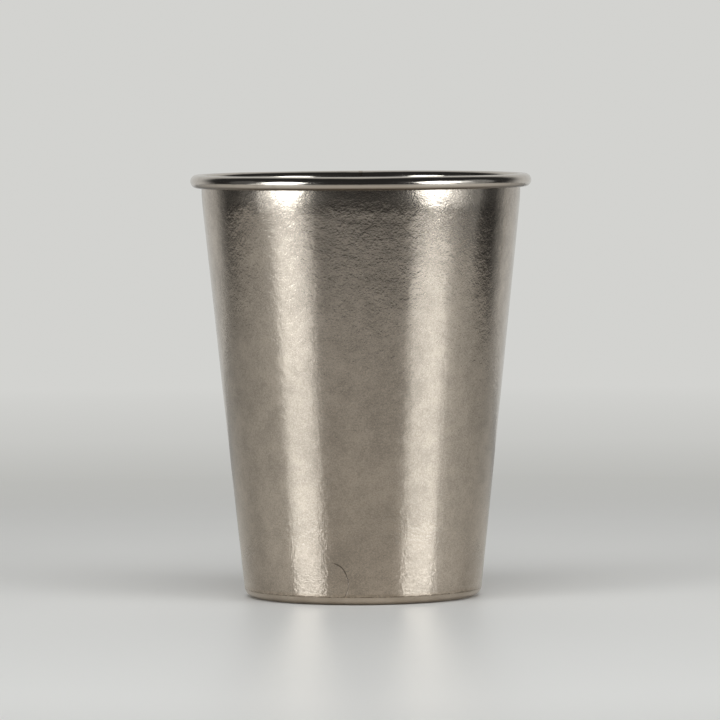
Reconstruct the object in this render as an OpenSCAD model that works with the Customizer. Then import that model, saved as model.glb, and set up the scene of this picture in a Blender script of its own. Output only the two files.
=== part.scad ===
// Titanium beer cup, single wall, no handle.
// A tapered side wall is rolled from sheet and welded down its back. Its top stands up straighter as a
// short neck, and the edge above that is curled outward into a hollow bead. A pressed base pan closes
// the cup, butt-welded along the foot.
// Millimetres, +Z up. The origin is on the axis, at the plane the cup stands on.

/* [Cup] */
// Outside diameter over the rolled rim
rim_d = 90; // [80:0.5:100]
// Height from the standing plane to the top of the rim
cup_h = 111.6; // [90:0.1:140]
// Outside diameter of the wall's slope, carried down to the standing plane
foot_d = 62.3; // [54:0.1:72]

/* [Sheet] */
// Thickness of the titanium sheet
sheet_t = 0.6; // [0.4:0.05:0.8]

/* [Rim] */
// Outside diameter of the curled bead
bead_d = 3.5; // [2.8:0.1:4.5]
// Gap between the cut edge of the curl and the neck
curl_gap = 0.2; // [0.1:0.05:0.3]

/* [Neck] */
// Height of the neck along the wall, from its crease to the level of the bead's middle
neck_h = 6; // [3:0.1:9]
// Angle by which the neck stands up straighter than the slope below it
neck_bend = 3.6; // [1:0.1:6]

/* [Base] */
// Outside radius of the corner between the wall and the base
corner_r = 2.8; // [2:0.1:5]
// Width of the flat ring that the cup stands on
standing_ring_w = 3; // [2:0.5:6]
// Height of the panel inside that ring above it
panel_rise = 1.2; // [0.6:0.1:2]
// Inside radius of the two bends between the ring and the panel
panel_bend_r = 1.2; // [1:0.1:2]

/* [Welds] */
// Width of the fused metal in both welds, which are ground flush; the side weld's is at half height
weld_w = 0.9; // [0.6:0.1:1.5]

/* [Hidden] */
$fn = 96;

titanium = [0.58, 0.55, 0.51];
weld_titanium = [0.47, 0.45, 0.42];

// Points and directions in the section are [radius, height], and a tilt is an angle from upright.
function up(tilt) = [sin(tilt), cos(tilt)];
function out(tilt) = [cos(tilt), -sin(tilt)];

bead_r = bead_d / 2;
curl_bore_r = bead_r - sheet_t;
curl_centre = [rim_d / 2 - bead_r, cup_h - bead_r];
foot_edge = [foot_d / 2, 0];

// The wall's outer face runs up the slope to the crease, and up the neck to the bore of the curl, which
// it touches as a tangent. So the curl's centre lies this far outside the line of the slope.
foot_to_curl = curl_centre - foot_edge;
curl_offset = curl_bore_r * cos(neck_bend) - neck_h * sin(neck_bend);
wall_tilt = atan2(foot_to_curl[0], foot_to_curl[1]) - asin(curl_offset / norm(foot_to_curl));
neck_tilt = wall_tilt - neck_bend;
crease = curl_centre - curl_bore_r * out(neck_tilt) - neck_h * up(neck_tilt);

// The curl turns until the outer corner of its cut edge is curl_gap from the neck.
curl_sweep = 360 - acos((curl_bore_r - curl_gap) / bead_r);

// The corner is tangent to the standing plane and to the slope, and the base weld lies where it meets
// the slope, half on each.
corner_centre = [foot_d / 2 - corner_r * (1 - sin(wall_tilt)) / cos(wall_tilt), corner_r];
corner_top = corner_centre + corner_r * out(wall_tilt);
weld_top = corner_top + weld_w / 2 * up(wall_tilt);
half_weld_angle = weld_w / 2 / corner_r * 180 / PI;

// The side weld takes up a sector of the wall, so it narrows towards the foot as the wall does.
side_weld_sweep = weld_w / ((rim_d + foot_d) / 4) * 180 / PI;

// The bends beside the panel turn by the same angle, one up and one level again.
bend_mid_r = panel_bend_r + sheet_t / 2;
bend_angle = acos(1 - panel_rise / (2 * bend_mid_r));
ring_inner_r = corner_centre[0] - standing_ring_w;
lower_bend_centre = [ring_inner_r, sheet_t + panel_bend_r];
upper_bend_centre = lower_bend_centre - 2 * bend_mid_r * [sin(bend_angle), cos(bend_angle)];

// A wedge from the origin, long enough to cut any ring of radius r
module sector(r, sweep) {
    steps = ceil(sweep / 60);
    polygon([[0, 0], for (i = [0:steps]) 2 * r * [cos(i * sweep / steps), sin(i * sweep / steps)]]);
}

// Sheet bent round the origin, from one direction through a sweep, which is clockwise if it is negative
module bent_sheet(inside_r, start, sweep) {
    rotate(start) mirror([0, sweep < 0 ? 1 : 0]) intersection() {
        difference() {
            circle(inside_r + sheet_t);
            circle(inside_r);
        }
        sector(inside_r + sheet_t, abs(sweep));
    }
}

// Level sheet between two radii, with its lower face at a height
module level_sheet(inner_r, outer_r, height) {
    translate([inner_r, height]) square([outer_r - inner_r, sheet_t]);
}

// The wall is drawn from the curl's centre with the neck upright, and then leaned over.
module wall_section() {
    neck_foot = [-curl_bore_r, -neck_h];
    slope_foot = neck_foot - norm(crease - weld_top) * up(neck_bend);
    through_crease = sheet_t / cos(neck_bend / 2) * out(neck_bend / 2);
    through_slope = sheet_t * out(neck_bend);
    translate(curl_centre) rotate(-neck_tilt) {
        polygon([
            slope_foot, neck_foot, [-curl_bore_r, 0],
            [-bead_r, 0], neck_foot - through_crease, slope_foot - through_slope]);
        bent_sheet(curl_bore_r, 180, -curl_sweep);
    }
}

module pan_section() {
    translate(corner_centre) bent_sheet(corner_r - sheet_t, -90, 90 - wall_tilt - half_weld_angle);
    level_sheet(ring_inner_r, corner_centre[0], 0);
    translate(lower_bend_centre) bent_sheet(panel_bend_r, -90, -bend_angle);
    translate(upper_bend_centre) bent_sheet(panel_bend_r, 90, -bend_angle);
    level_sheet(0, upper_bend_centre[0], panel_rise);
}

// The base weld is drawn from the corner's centre with the slope upright, and then leaned over.
module base_weld_section() {
    translate(corner_centre) rotate(-wall_tilt) {
        translate([corner_r - sheet_t, 0]) square([sheet_t, weld_w / 2]);
        bent_sheet(corner_r - sheet_t, 0, -half_weld_angle);
    }
}

module whole_wall() {
    rotate_extrude() wall_section();
}

// The wedge that the side weld takes out of the wall, at the back and past the top of the bead
module weld_wedge() {
    linear_extrude(cup_h + bead_d) rotate(90 - side_weld_sweep / 2) sector(rim_d / 2, side_weld_sweep);
}

module side_wall() {
    color(titanium) difference() {
        whole_wall();
        weld_wedge();
    }
}

module side_weld() {
    color(weld_titanium) intersection() {
        whole_wall();
        weld_wedge();
    }
}

module base_pan() {
    color(titanium) rotate_extrude() pan_section();
}

module base_weld() {
    color(weld_titanium) rotate_extrude() base_weld_section();
}

side_wall();
side_weld();
base_pan();
base_weld();
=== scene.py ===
import math

import bpy
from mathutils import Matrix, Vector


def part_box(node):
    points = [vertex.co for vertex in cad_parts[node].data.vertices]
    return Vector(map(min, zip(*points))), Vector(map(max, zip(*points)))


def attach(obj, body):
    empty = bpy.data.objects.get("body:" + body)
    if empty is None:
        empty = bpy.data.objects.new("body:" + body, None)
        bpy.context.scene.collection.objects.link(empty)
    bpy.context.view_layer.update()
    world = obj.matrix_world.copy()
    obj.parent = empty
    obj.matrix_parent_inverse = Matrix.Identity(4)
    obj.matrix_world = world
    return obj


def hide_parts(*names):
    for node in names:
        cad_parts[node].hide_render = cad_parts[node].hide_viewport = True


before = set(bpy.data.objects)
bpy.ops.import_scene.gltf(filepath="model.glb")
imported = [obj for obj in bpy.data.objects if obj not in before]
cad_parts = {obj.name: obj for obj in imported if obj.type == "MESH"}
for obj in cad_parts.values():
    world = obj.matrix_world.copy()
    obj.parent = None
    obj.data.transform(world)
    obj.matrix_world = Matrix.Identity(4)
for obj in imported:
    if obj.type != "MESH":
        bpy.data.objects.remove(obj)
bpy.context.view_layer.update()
print("frame loaded:", ", ".join(sorted(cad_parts)))


# The cup's sizes, in metres. A point of its section is a radius and a height.
cup = {
    "rimRadius": max(math.hypot(v.co.x, v.co.y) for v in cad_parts["side_wall"].data.vertices),
    "height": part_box("side_wall")[1].z,
    "footRadius": 0.03115,      # the wall's slope carried down to the table
    "sheet": 0.0006,
    "beadRadius": 0.00175,
    "curlGap": 0.0002,
    "neckHeight": 0.0041,       # from the middle of the neck's bend to the level of the bead's middle
    "neckBend": math.radians(6.2),
    "cornerRadius": 0.0028,
    "weldWidth": 0.0009,
}


# Directions in the section, up a sheet that leans outward and out of it
def upSheet(tilt):
    return (math.sin(tilt), math.cos(tilt))


def outOfSheet(tilt):
    return (math.cos(tilt), -math.sin(tilt))


def pointFrom(start, direction, distance):
    return (start[0] + direction[0] * distance, start[1] + direction[1] * distance)


halfSheet = cup["sheet"] / 2
curlBore = cup["beadRadius"] - cup["sheet"]
curlMiddle = curlBore + halfSheet
curlCentre = (cup["rimRadius"] - cup["beadRadius"], cup["height"] - cup["beadRadius"])
footToCurl = (curlCentre[0] - cup["footRadius"], curlCentre[1])
curlOffset = curlBore * math.cos(cup["neckBend"]) - cup["neckHeight"] * math.sin(cup["neckBend"])
wallTilt = math.atan2(*footToCurl) - math.asin(curlOffset / math.hypot(*footToCurl))
neckTilt = wallTilt - cup["neckBend"]
curlSweep = 2 * math.pi - math.acos((curlBore - cup["curlGap"]) / cup["beadRadius"])
cornerInset = cup["cornerRadius"] * (1 - math.sin(wallTilt)) / math.cos(wallTilt)
cornerCentre = (cup["footRadius"] - cornerInset, cup["cornerRadius"])
cornerMiddle = cup["cornerRadius"] - halfSheet
halfWeldAngle = cup["weldWidth"] / 2 / cup["cornerRadius"]

# One column of faces at the back is as wide as the side weld
weldSweep = 2 * math.asin(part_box("side_weld")[1].x / cup["rimRadius"])
segments = round(2 * math.pi / weldSweep)


def arc(centre, radius, first, last, steps):
    turns = [first + (last - first) * i / steps for i in range(steps + 1)]
    return [(centre[0] + radius * math.cos(a), centre[1] + radius * math.sin(a)) for a in turns]


def line(first, last, steps):
    shares = [i / steps for i in range(steps + 1)]
    return [tuple(a + (b - a) * share for a, b in zip(first, last)) for share in shares]


def joined(*runs):
    path = list(runs[0])
    for run in runs[1:]:
        path += run[1:]
    return path


# Modelling, as by hand: a circle is extruded ring by ring along the section
def turnSheet(name, path):
    bpy.ops.object.select_all(action="DESELECT")
    radius, height = path[0]
    bpy.ops.mesh.primitive_circle_add(
        vertices=segments, radius=radius, location=(0, 0, height), rotation=(0, 0, math.pi / segments))
    piece = bpy.context.object
    piece.name = name
    bpy.ops.object.transform_apply()
    bpy.ops.object.mode_set(mode="EDIT")
    bpy.ops.mesh.select_mode(type="VERT")
    bpy.ops.mesh.select_all(action="SELECT")
    for nextRadius, nextHeight in path[1:]:
        bpy.ops.mesh.extrude_region_move(TRANSFORM_OT_translate={"value": (0, 0, nextHeight - height)})
        growth = nextRadius / radius
        bpy.ops.transform.resize(value=(growth, growth, 1), center_override=(0, 0, nextHeight))
        radius, height = nextRadius, nextHeight
    return piece


# Leaves only the chosen faces selected, in edit mode
def pickFaces(piece, chosen):
    bpy.ops.object.mode_set(mode="EDIT")
    bpy.ops.mesh.select_mode(type="FACE")
    bpy.ops.mesh.select_all(action="DESELECT")
    bpy.ops.object.mode_set(mode="OBJECT")
    for face in piece.data.polygons:
        face.select = chosen(face)
    bpy.ops.object.mode_set(mode="EDIT")


def addModifier(piece, kind, **settings):
    bpy.context.view_layer.objects.active = piece
    modifier = piece.modifiers.new(kind.lower(), kind)
    for name, value in settings.items():
        setattr(modifier, name, value)
    bpy.ops.object.modifier_apply(modifier=modifier.name)


def thicken(piece):
    addModifier(piece, "SOLIDIFY", thickness=cup["sheet"], offset=0, use_even_offset=True)


hand = {"size": 0.022, "depth": 0.00012}   # uneven hand work: how far apart and how deep
unevenness = bpy.data.textures.new("unevenness", "CLOUDS")
unevenness.noise_scale = hand["size"]


def makeUneven(piece):
    addModifier(piece, "DISPLACE", texture=unevenness, texture_coords="GLOBAL", strength=hand["depth"])


creaseAngle = math.radians(35)   # edges sharper than this stay sharp


def smooth(piece):
    bpy.ops.object.select_all(action="DESELECT")
    piece.select_set(True)
    bpy.context.view_layer.objects.active = piece
    bpy.ops.object.shade_smooth_by_angle(angle=creaseAngle)


def dress(piece, node):
    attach(piece, "root")
    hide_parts(node)


def giveFinish(piece, material, chosen):
    piece.data.materials.append(material)
    index = len(piece.data.materials) - 1
    for face in piece.data.polygons:
        if chosen(face):
            face.material_index = index


# Shader maths
class Wire:
    # a node's output; sums on wires add Math nodes
    def __init__(self, tree, socket=None):
        self.tree = tree
        self.socket = socket

    # any node: its type, its settings, the values or wires of its inputs, and which output is wanted
    def node(self, kind, settings, inputs, output=0):
        made = self.tree.nodes.new(kind)
        for name, value in settings.items():
            if name == "stops":
                self.setStops(made.color_ramp, value)
            else:
                setattr(made, name, value)
        for name, value in inputs.items():
            if isinstance(value, Wire):
                self.tree.links.new(value.socket, made.inputs[name])
            else:
                made.inputs[name].default_value = value
        return Wire(self.tree, made.outputs[output]) if made.outputs else None

    def setStops(self, ramp, stops):
        while len(ramp.elements) < len(stops):
            ramp.elements.new(1)
        for element, (position, colour) in zip(ramp.elements, stops):
            element.position = position
            element.color = (*colour, 1)

    def maths(self, operation, first, second=0.0):
        return self.node("ShaderNodeMath", {"operation": operation}, {0: first, 1: second})

    def __add__(self, other):
        return self.maths("ADD", self, other)

    def __radd__(self, other):
        return self.maths("ADD", other, self)

    def __sub__(self, other):
        return self.maths("SUBTRACT", self, other)

    def __rsub__(self, other):
        return self.maths("SUBTRACT", other, self)

    def __mul__(self, other):
        return self.maths("MULTIPLY", self, other)

    def __rmul__(self, other):
        return self.maths("MULTIPLY", other, self)

    def __truediv__(self, other):
        return self.maths("DIVIDE", self, other)

    def __rtruediv__(self, other):
        return self.maths("DIVIDE", other, self)

    def __pow__(self, other):
        return self.maths("POWER", self, other)

    def size(self):
        return self.maths("ABSOLUTE", self)

    # 0 below the first value, 1 above the second, eased between them
    def ramp(self, low, high):
        settings = {"interpolation_type": "SMOOTHSTEP"}
        inputs = {"Value": self, "From Min": low, "From Max": high}
        return self.node("ShaderNodeMapRange", settings, inputs)


def newFinish(name):
    material = bpy.data.materials.new(name)
    material.use_nodes = True
    material.node_tree.nodes.clear()
    return material, Wire(material.node_tree)


# Where a point lies on the piece
def place(wire):
    return wire.node("ShaderNodeTexCoord", {}, {}, "Object")


def along(wire, axis):
    return wire.node("ShaderNodeSeparateXYZ", {}, {0: place(wire)}, axis)


def radiusOf(wire):
    return (along(wire, "X") ** 2 + along(wire, "Y") ** 2) ** 0.5


def noise(wire, size, detail=2.0, roughness=0.5, stretch=(1, 1, 1)):
    stretched = wire.node("ShaderNodeVectorMath", {"operation": "MULTIPLY"}, {0: place(wire), 1: stretch})
    inputs = {"Vector": stretched, "Scale": 1 / size, "Detail": detail, "Roughness": roughness}
    return wire.node("ShaderNodeTexNoise", {}, inputs)


def blend(wire, share, first, second):
    return wire.node("ShaderNodeMix", {"data_type": "RGBA"}, {0: share, 6: first, 7: second}, 2)


# The relief is a height in metres
def metal(wire, colour, roughness, relief, metallic=1.0):
    normal = wire.node("ShaderNodeBump", {}, {"Height": relief, "Distance": 1.0})
    inputs = {"Base Color": colour, "Metallic": metallic, "Roughness": roughness, "Normal": normal}
    shader = wire.node("ShaderNodeBsdfPrincipled", {}, inputs)
    wire.node("ShaderNodeOutputMaterial", {}, {"Surface": shader})


# The outside of the wall: satin, with a grain like fine leather and one hairline scratch above the foot
satin = {
    "pale": (0.56, 0.5, 0.435, 1), "dark": (0.38, 0.34, 0.295, 1),
    "mottle": 0.0055, "cloud": 0.034,
    "shadeParts": {"mottle": 0.5, "cloud": 0.2, "peel": 0.15, "grain": 0.5},
    "shadeRange": (0.495, 0.855),
    "roughness": 0.15, "mottleRoughness": 0.1,
    "neckRoughness": 0.06, "neckDrop": (0.0095, 0.0055),      # fades in between these depths below the rim
    "wrinkle": 0.0022, "wrinkleDepth": 0.00004,
    "peel": 0.0006, "peelDepth": 0.00002,
    "feather": 0.0007, "featherStretch": (1, 1, 0.8),
    "featherDepth": (0.000042, 0.00001),                      # at the foot and at the rim
    "grain": 0.00036, "grainDepth": 0.000014,
}
scratch = {
    "centre": (-0.0082, 0.0057), "reach": (0.0043, 0.0055),
    "width": 0.032, "waver": 0.06, "fadeIn": (-0.2, 0.5),     # shares of the reach
    "waverSize": 0.002, "frontFade": (0, 0.01),
    "depth": 0.00003, "colour": (0.17, 0.145, 0.12, 1),
}


# 1 along the scratch, the right half of an ellipse on the front of the wall
def scratchLine(wire):
    sideways = (along(wire, "X") - scratch["centre"][0]) / scratch["reach"][0]
    upward = (along(wire, "Z") - scratch["centre"][1]) / scratch["reach"][1]
    waver = (noise(wire, scratch["waverSize"]) - 0.5) * scratch["waver"]
    away = ((sideways ** 2 + upward ** 2) ** 0.5 - 1 + waver).size()
    onLine = 1 - away.ramp(scratch["width"] * 0.5, scratch["width"])
    onFront = (0 - along(wire, "Y")).ramp(*scratch["frontFade"])
    return onLine * sideways.ramp(*scratch["fadeIn"]) * onFront


def satinTitanium():
    material, wire = newFinish("satinTitanium")
    mottle = noise(wire, satin["mottle"], 5, 0.65)
    cloud = noise(wire, satin["cloud"], 3, 0.5)
    wrinkle = noise(wire, satin["wrinkle"], 1, 0.5)
    peel = noise(wire, satin["peel"], 1, 0.5)
    grain = noise(wire, satin["grain"], 1, 0.6)
    feather = noise(wire, satin["feather"], 1, 0.5, satin["featherStretch"])
    parts = satin["shadeParts"]
    shade = mottle * parts["mottle"] + cloud * parts["cloud"]
    shade = shade + peel * parts["peel"] + grain * parts["grain"]
    cut = scratchLine(wire)
    colour = blend(wire, shade.ramp(*satin["shadeRange"]), satin["dark"], satin["pale"])
    colour = blend(wire, cut, colour, scratch["colour"])
    lowest, highest = satin["featherDepth"]
    featherDepth = lowest - along(wire, "Z").ramp(0, cup["height"]) * (lowest - highest)
    relief = peel * satin["peelDepth"] + grain * satin["grainDepth"] + feather * featherDepth
    relief = relief + wrinkle * satin["wrinkleDepth"] - cut * scratch["depth"]
    neckFrom, neckTo = satin["neckDrop"]
    onNeck = along(wire, "Z").ramp(cup["height"] - neckFrom, cup["height"] - neckTo)
    roughness = satin["roughness"] + onNeck * satin["neckRoughness"]
    metal(wire, colour, roughness + (0.5 - mottle) * satin["mottleRoughness"], relief)
    return material


# The curled bead: polished, with fine marks running round it and a painted brown shade in the crevice below
polish = {
    "colour": (0.56, 0.515, 0.465, 1), "dull": (0.42, 0.38, 0.335, 1), "dullShare": 0.5,
    "wear": 0.005, "wearRange": (0.55, 0.75),
    "marks": 0.0004, "marksStretch": (0.15, 0.15, 1), "marksDepth": 0.000008,
    "roughness": 0.15, "wearRoughness": 0.15,
    "paintedCreviceShade": (0.1, 0.08, 0.06, 1), "paintedCreviceShadeDrop": (0.4, 0.85),   # in bead radii below its middle
}


def polishedTitanium():
    material, wire = newFinish("polishedTitanium")
    marks = noise(wire, polish["marks"], 3, 0.6, polish["marksStretch"])
    wear = noise(wire, polish["wear"], 4, 0.6)
    worn = wear.ramp(*polish["wearRange"]) * polish["dullShare"]
    colour = blend(wire, worn, polish["colour"], polish["dull"])
    drop = (curlCentre[1] - along(wire, "Z")) / cup["beadRadius"]
    outer = (radiusOf(wire) - curlCentre[0] + cup["beadRadius"]).ramp(0, cup["beadRadius"])
    # Painted shade: the bead's outer underside is darkened brown towards the crevice
    colour = blend(wire, drop.ramp(*polish["paintedCreviceShadeDrop"]) * outer, colour, polish["paintedCreviceShade"])
    roughness = polish["roughness"] + (wear - 0.5) * polish["wearRoughness"]
    metal(wire, colour, roughness, marks * polish["marksDepth"])
    return material


# The inside of the wall: rubbed round and round, and dull enough to scatter some light
inside = {
    "pale": (0.68, 0.635, 0.575, 1), "dark": (0.56, 0.515, 0.46, 1),
    "mottle": 0.012, "shadeParts": {"mottle": 0.5, "rubbed": 0.5}, "shadeRange": (0.3, 0.7),
    "rubbed": 0.0007, "rubbedStretch": (0.05, 0.05, 1), "rubbedDepth": 0.000015,
    "roughness": 0.28, "rubbedRoughness": 0.15, "metallic": 0.7,
}


def insideTitanium():
    material, wire = newFinish("insideTitanium")
    rubbed = noise(wire, inside["rubbed"], 3, 0.6, inside["rubbedStretch"])
    mottle = noise(wire, inside["mottle"], 4, 0.6)
    parts = inside["shadeParts"]
    shade = mottle * parts["mottle"] + rubbed * parts["rubbed"]
    colour = blend(wire, shade.ramp(*inside["shadeRange"]), inside["dark"], inside["pale"])
    roughness = inside["roughness"] + (rubbed - 0.5) * inside["rubbedRoughness"]
    metal(wire, colour, roughness, rubbed * inside["rubbedDepth"], inside["metallic"])
    return material


# The base pan: smoother than the wall, with turning marks
pan = {
    "pale": (0.54, 0.49, 0.435, 1), "dark": (0.42, 0.375, 0.325, 1),
    "mottle": 0.007, "shadeParts": {"mottle": 0.7, "rings": 0.3}, "shadeRange": (0.3, 0.7),
    "turning": 0.0004, "turningDepth": 0.00001,
    "roughness": 0.24, "mottleRoughness": 0.15,
}


def panTitanium():
    material, wire = newFinish("panTitanium")
    rings = wire.node("ShaderNodeTexNoise", {"noise_dimensions": "1D"}, {
        "W": radiusOf(wire), "Scale": 1 / pan["turning"], "Detail": 2.0})
    mottle = noise(wire, pan["mottle"], 4, 0.6)
    parts = pan["shadeParts"]
    shade = mottle * parts["mottle"] + rings * parts["rings"]
    colour = blend(wire, shade.ramp(*pan["shadeRange"]), pan["dark"], pan["pale"])
    roughness = pan["roughness"] + (mottle - 0.5) * pan["mottleRoughness"]
    metal(wire, colour, roughness, rings * pan["turningDepth"])
    return material


# Weld metal, ground flush: like the sheet, with a thin dark seam left where the base weld meets the pan
weld = {
    "pale": (0.51, 0.45, 0.385, 1), "dark": (0.4, 0.35, 0.295, 1), "shadeRange": (0.35, 0.65),
    "grind": 0.0007, "grindDepth": 0.00002,
    "roughness": 0.19, "grindRoughness": 0.15,
    "seam": (0.26, 0.22, 0.18, 1), "seamHeight": 0.0022, "seamWidth": 0.0002,
    "seamWaver": 0.0004, "seamWaverSize": 0.003,
    "seamBreaks": 0.0012, "breakRange": (0.35, 0.55),
}


def weldTitanium(name, metallic):
    material, wire = newFinish(name)
    grind = noise(wire, weld["grind"], 2, 0.5)
    waver = (noise(wire, weld["seamWaverSize"], 3) - 0.5) * weld["seamWaver"]
    away = (along(wire, "Z") + waver - weld["seamHeight"]).size()
    unbroken = noise(wire, weld["seamBreaks"], 2).ramp(*weld["breakRange"])
    onSeam = (1 - away.ramp(weld["seamWidth"] * 0.5, weld["seamWidth"])) * unbroken
    colour = blend(wire, grind.ramp(*weld["shadeRange"]), weld["dark"], weld["pale"])
    colour = blend(wire, wire.maths("MAXIMUM", onSeam, scratchLine(wire)), colour, weld["seam"])
    roughness = weld["roughness"] + (grind - 0.5) * weld["grindRoughness"]
    metal(wire, colour, roughness, grind * weld["grindDepth"], metallic)
    return material


satinFinish = satinTitanium()
polishFinish = polishedTitanium()
insideFinish = insideTitanium()
panFinish = panTitanium()
weldFinish = weldTitanium("weldTitanium", 1.0)
weldInsideFinish = weldTitanium("weldInsideTitanium", inside["metallic"])
print("finishes mixed")


# Side wall and the weld down its back
wall = {
    "slopeRows": 42, "bendRows": 12, "curlRows": 40,
    "beadReach": 1.1, "beadBottom": 1.02,   # in bead radii, with slack because the wall is uneven
}
wallFoot = pointFrom(cornerCentre, outOfSheet(wallTilt), cornerMiddle)
wallStart = pointFrom(wallFoot, upSheet(wallTilt), cup["weldWidth"] / 2)
neckTop = pointFrom(curlCentre, outOfSheet(neckTilt), -curlMiddle)
halfBend = cup["neckBend"] / 2
neckReach = cup["neckHeight"] - halfSheet * math.tan(halfBend)
bendStart = pointFrom(pointFrom(neckTop, upSheet(neckTilt), -neckReach), upSheet(wallTilt), -neckReach)
bendRadius = neckReach / math.tan(halfBend)
bendCentre = pointFrom(neckTop, outOfSheet(neckTilt), -bendRadius)
curlStart = math.pi - neckTilt
wallPath = joined(
    line(wallStart, bendStart, wall["slopeRows"]),
    arc(bendCentre, bendRadius, -wallTilt, -neckTilt, wall["bendRows"]),
    arc(curlCentre, curlMiddle, curlStart, curlStart - curlSweep, wall["curlRows"]))
sideWall = turnSheet("sideWall", wallPath)
pickFaces(sideWall, lambda face: abs(math.atan2(face.center.x, face.center.y)) < weldSweep / 4)
bpy.ops.mesh.separate(type="SELECTED")
bpy.ops.object.mode_set(mode="OBJECT")
sideWeld = next(piece for piece in bpy.context.selected_objects if piece != sideWall)
sideWeld.name = "sideWeld"


def onBead(face):
    outward = math.hypot(face.center.x, face.center.y) - curlCentre[0]
    upward = face.center.z - curlCentre[1]
    within = math.hypot(outward, upward) < cup["beadRadius"] * wall["beadReach"]
    return within and upward > -cup["beadRadius"] * wall["beadBottom"]


def facesIn(face):
    return face.normal.x * face.center.x + face.normal.y * face.center.y < 0


for piece in (sideWall, sideWeld):
    thicken(piece)
    makeUneven(piece)
    smooth(piece)
giveFinish(sideWall, satinFinish, lambda face: True)
giveFinish(sideWall, insideFinish, lambda face: facesIn(face) and not onBead(face))
giveFinish(sideWall, polishFinish, onBead)
giveFinish(sideWeld, weldFinish, lambda face: True)
giveFinish(sideWeld, weldInsideFinish, lambda face: facesIn(face) and not onBead(face))
dress(sideWall, "side_wall")
dress(sideWeld, "side_weld")
print("side wall and its weld:", len(sideWall.data.polygons), "faces")


# Base pan: corner, standing ring, two bends and the raised panel
base = {
    "ringWidth": 0.003, "panelRise": 0.0012, "bendRadius": 0.0012,
    "cornerRows": 10, "ringRows": 4, "bendRows": 8, "panelRows": 10,
    "eye": 0.0004,              # radius of the last ring, which is merged into one point
}
bendMiddle = base["bendRadius"] + halfSheet
bendAngle = math.acos(1 - base["panelRise"] / (2 * bendMiddle))
ringInner = cornerCentre[0] - base["ringWidth"]
lowerBend = (ringInner, cup["sheet"] + base["bendRadius"])
upperBend = pointFrom(lowerBend, (math.sin(bendAngle), math.cos(bendAngle)), -2 * bendMiddle)
down = -math.pi / 2
up = math.pi / 2
panelHeight = base["panelRise"] + halfSheet
panPath = joined(
    arc(cornerCentre, cornerMiddle, -wallTilt - halfWeldAngle, down, base["cornerRows"]),
    line((cornerCentre[0], halfSheet), (ringInner, halfSheet), base["ringRows"]),
    arc(lowerBend, bendMiddle, down, down - bendAngle, base["bendRows"]),
    arc(upperBend, bendMiddle, up - bendAngle, up, base["bendRows"]),
    line((upperBend[0], panelHeight), (base["eye"], panelHeight), base["panelRows"]))
basePan = turnSheet("basePan", panPath)
bpy.ops.mesh.merge(type="CENTER")
bpy.ops.object.mode_set(mode="OBJECT")
thicken(basePan)
smooth(basePan)
giveFinish(basePan, panFinish, lambda face: True)
dress(basePan, "base_pan")

# Base weld: the ring between the pan's corner and the wall
ring = {"cornerRows": 3, "wallRows": 3}
weldPath = joined(
    arc(cornerCentre, cornerMiddle, -wallTilt - halfWeldAngle, -wallTilt, ring["cornerRows"]),
    line(wallFoot, wallStart, ring["wallRows"]))
baseWeld = turnSheet("baseWeld", weldPath)
bpy.ops.object.mode_set(mode="OBJECT")
thicken(baseWeld)
smooth(baseWeld)
giveFinish(baseWeld, weldFinish, lambda face: True)
dress(baseWeld, "base_weld")
print("base pan and its weld:", len(basePan.data.polygons) + len(baseWeld.data.polygons), "faces")


# Softboxes: a tall one in front on each side, each with a dim low wing beside it, a dim skirt on the right,
# a dim one beside the cup on each side, and a top light. An azimuth of 0 is in front.
lamps = {
    "left": {"azimuth": -53, "distance": 1.5, "low": -0.12, "size": (0.82, 1.0), "power": 10.5},
    "right": {"azimuth": 54, "distance": 1.5, "low": -0.11, "size": (0.86, 1.0), "power": 10.5},
    "leftWing": {"azimuth": -69, "distance": 1.5, "low": -0.12, "size": (0.52, 0.2), "power": 0.5},
    "rightWing": {"azimuth": 73, "distance": 1.5, "low": -0.12, "size": (0.52, 0.2), "power": 0.3},
    "rightSkirt": {"azimuth": 71, "distance": 1.5, "low": 0.15, "size": (0.5, 0.7), "power": 0.9},
    "leftSide": {"azimuth": -86, "distance": 1.1, "low": -0.1, "size": (0.5, 0.9), "power": 0.1},
    "rightSide": {"azimuth": 88, "distance": 1.1, "low": -0.1, "size": (0.5, 0.9), "power": 0.3},
    "top": {"azimuth": 0, "distance": 1.15, "low": -0.5, "size": (1.0, 1.0), "power": 7.1, "elevation": 66},
}
lampColour = (0.97, 1.0, 1.0)
for name, box in lamps.items():
    lamp = bpy.data.lights.new("softbox." + name, "AREA")
    lamp.shape = "ELLIPSE"
    lamp.size, lamp.size_y = box["size"]
    lamp.energy = box["power"]
    lamp.color = lampColour
    holder = bpy.data.objects.new("softbox." + name, lamp)
    turn = math.radians(box["azimuth"])
    rise = math.radians(box.get("elevation", 0))
    level = box["distance"] * math.cos(rise)
    height = box["distance"] * math.sin(rise) + box["low"] + box["size"][1] / 2
    holder.location = (math.sin(turn) * level, -math.cos(turn) * level, height)
    holder.rotation_euler = (math.pi / 2 - rise, 0, turn)
    holder.visible_glossy = name != "top"   # the metal mirrors a dark ceiling
    bpy.context.collection.objects.link(holder)


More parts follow.
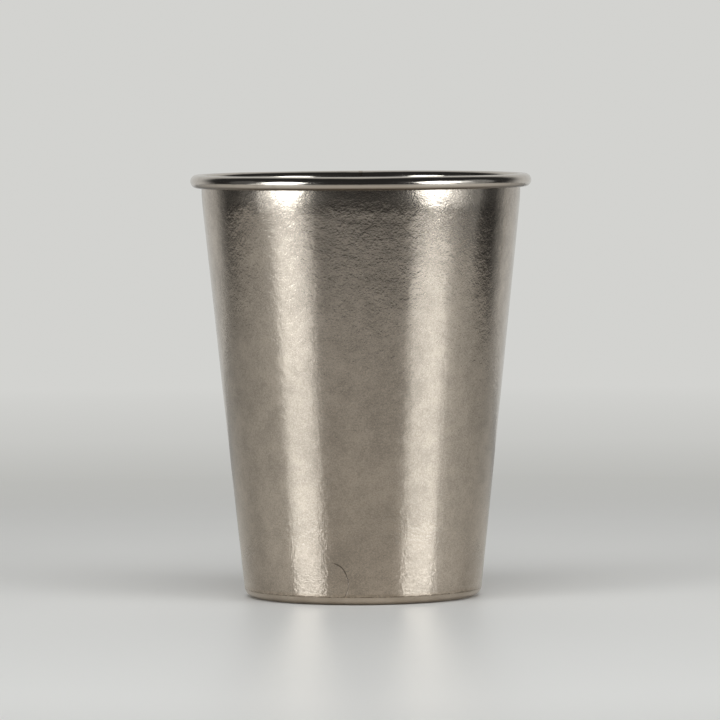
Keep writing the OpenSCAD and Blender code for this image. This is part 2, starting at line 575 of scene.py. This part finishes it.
# Stage: a pale table that fades into a pale backdrop for the eye. The metal mirrors the table as far as
# its oval edge, the backdrop behind the cup and the dark room in front.
table = {
    "reach": 12.0, "corners": 96, "edge": 0.51, "widening": 1.2, "edgeShift": -0.08, "edgeBlur": 0.04,
    "colour": (0.805, 0.79, 0.775, 1), "roughness": (0.25, 0.34), "glossReach": (0.03, 0.25), "ior": 1.5,
    "eyeRoughness": 0.4, "eyeIor": 1.25,
    # The mirrored table's colour is a painted pool of light, brightest by the cup and dimmer outward, with
    # paler painted light towards the sides
    "paintedLightPool": ((0.0, (0.86, 0.79, 0.71)), (0.45, (0.45, 0.435, 0.42))),
    "paintedSideLight": (0.95, 0.9, 0.84, 1), "paintedSideLightFrom": (0.4, 0.95), "paintedSideLightShare": 0.8,
    "fadeFrom": 0.24, "fadeTo": 0.46,
    # The backdrop's tones are painted shade: darkest about 0.44 m from the cup and paler further off
    "paintedShadeTones": ((0.0, (0.51, 0.51, 0.49)), (0.44, (0.5, 0.5, 0.48)), (0.65, (0.575, 0.575, 0.555)),
              (0.92, (0.63, 0.63, 0.61)), (1.0, (0.65, 0.65, 0.63))),
}
room = {
    "backdrop": (0.65, 0.65, 0.63, 1), "dark": (0.03, 0.03, 0.03, 1),
    "darkTo": 0.38, "paleFrom": 0.8, "lift": 0.45, "narrowing": 1.2,
}


# 1 for the eye, and for what the eye sees through
def eyeRay(wire):
    path = wire.node("ShaderNodeLightPath", {}, {}, "Is Camera Ray")
    through = wire.node("ShaderNodeLightPath", {}, {}, "Is Transmission Ray")
    return wire.maths("MAXIMUM", path, through)


def tableFinish():
    material, wire = newFinish("paleTable")
    distance = radiusOf(wire)
    toEye = eyeRay(wire)
    # Painted light: a pool brightest by the cup, and paler painted light towards the sides
    paintedLightPool = wire.node("ShaderNodeValToRGB", {"stops": table["paintedLightPool"]}, {0: distance})
    sideways = (along(wire, "X").size() / distance).ramp(*table["paintedSideLightFrom"])
    mirroredPaintedLight = blend(wire, sideways * table["paintedSideLightShare"], paintedLightPool, table["paintedSideLight"])
    nearest, farthest = table["roughness"]
    mirroredRoughness = distance.ramp(*table["glossReach"]) * (farthest - nearest) + nearest
    mirroredTop = wire.node("ShaderNodeBsdfPrincipled", {}, {
        "Base Color": mirroredPaintedLight, "Roughness": mirroredRoughness, "IOR": table["ior"]})
    seenTop = wire.node("ShaderNodeBsdfPrincipled", {}, {
        "Base Color": table["colour"], "Roughness": table["eyeRoughness"], "IOR": table["eyeIor"]})
    # Painted shade on the backdrop: darkest about 0.44 m from the cup, paler further off
    paintedShadeTone = wire.node("ShaderNodeValToRGB", {"stops": table["paintedShadeTones"]}, {0: distance})
    backdrop = wire.node("ShaderNodeEmission", {}, {"Color": paintedShadeTone, "Strength": 1.0})
    fade = distance.ramp(table["fadeFrom"], table["fadeTo"])
    seen = wire.node("ShaderNodeMixShader", {}, {0: fade, 1: seenTop, 2: backdrop})
    nothing = wire.node("ShaderNodeBsdfTransparent", {}, {})
    acrossTable = (along(wire, "X") - table["edgeShift"]) / table["widening"]
    edgeDistance = (acrossTable ** 2 + along(wire, "Y") ** 2) ** 0.5
    pastEdge = edgeDistance.ramp(table["edge"] - table["edgeBlur"], table["edge"] + table["edgeBlur"])
    mirrored = wire.node("ShaderNodeMixShader", {}, {0: pastEdge, 1: mirroredTop, 2: nothing})
    mixed = wire.node("ShaderNodeMixShader", {}, {0: toEye, 1: mirrored, 2: seen})
    wire.node("ShaderNodeOutputMaterial", {}, {"Surface": mixed})
    return material


bpy.ops.object.select_all(action="DESELECT")
bpy.ops.mesh.primitive_circle_add(vertices=table["corners"], radius=table["reach"], fill_type="NGON")
tableTop = bpy.context.object
tableTop.name = "tableTop"
tableTop.data.materials.append(tableFinish())

# World: the pale backdrop to the eye. To the rest it is a room, pale behind the cup and some way up over
# it in the middle, and dark in front.
world = bpy.data.worlds.new("studio")
bpy.context.scene.world = world
world.use_nodes = True
world.node_tree.nodes.clear()
sky = Wire(world.node_tree)
towards = sky.node("ShaderNodeTexCoord", {}, {}, "Generated")
behind = sky.node("ShaderNodeSeparateXYZ", {}, {0: towards}, "Y")
above = sky.maths("MAXIMUM", sky.node("ShaderNodeSeparateXYZ", {}, {0: towards}, "Z"), 0.0)
aside = sky.node("ShaderNodeSeparateXYZ", {}, {0: towards}, "X").size()
backdropShare = behind + above * (room["lift"] - aside * room["narrowing"])
pale = sky.maths("MAXIMUM", backdropShare.ramp(room["darkTo"], room["paleFrom"]), eyeRay(sky))
skyColour = blend(sky, pale, room["dark"], room["backdrop"])
skyShader = sky.node("ShaderNodeBackground", {}, {"Color": skyColour, "Strength": 1.0})
sky.node("ShaderNodeOutputWorld", {}, {"Surface": skyShader})
print("stage set")

# Camera, from where the photograph was taken
eye = {
    "distance": 1.5823, "height": 0.14276, "pitch": -2.909, "roll": 0.344,
    "lens": 299.56, "sensor": 36, "farthest": 100,
}
camera = bpy.data.cameras.new("eye")
camera.lens = eye["lens"]
camera.sensor_width = eye["sensor"]
camera.clip_end = eye["farthest"]
cameraHolder = bpy.data.objects.new("eye", camera)
cameraHolder.location = (0, -eye["distance"], eye["height"])
cameraHolder.rotation_euler = (math.pi / 2 + math.radians(eye["pitch"]), math.radians(eye["roll"]), 0)
bpy.context.collection.objects.link(cameraHolder)
bpy.context.scene.camera = cameraHolder
bpy.context.scene.view_settings.view_transform = "Standard"
print("lights and camera placed")
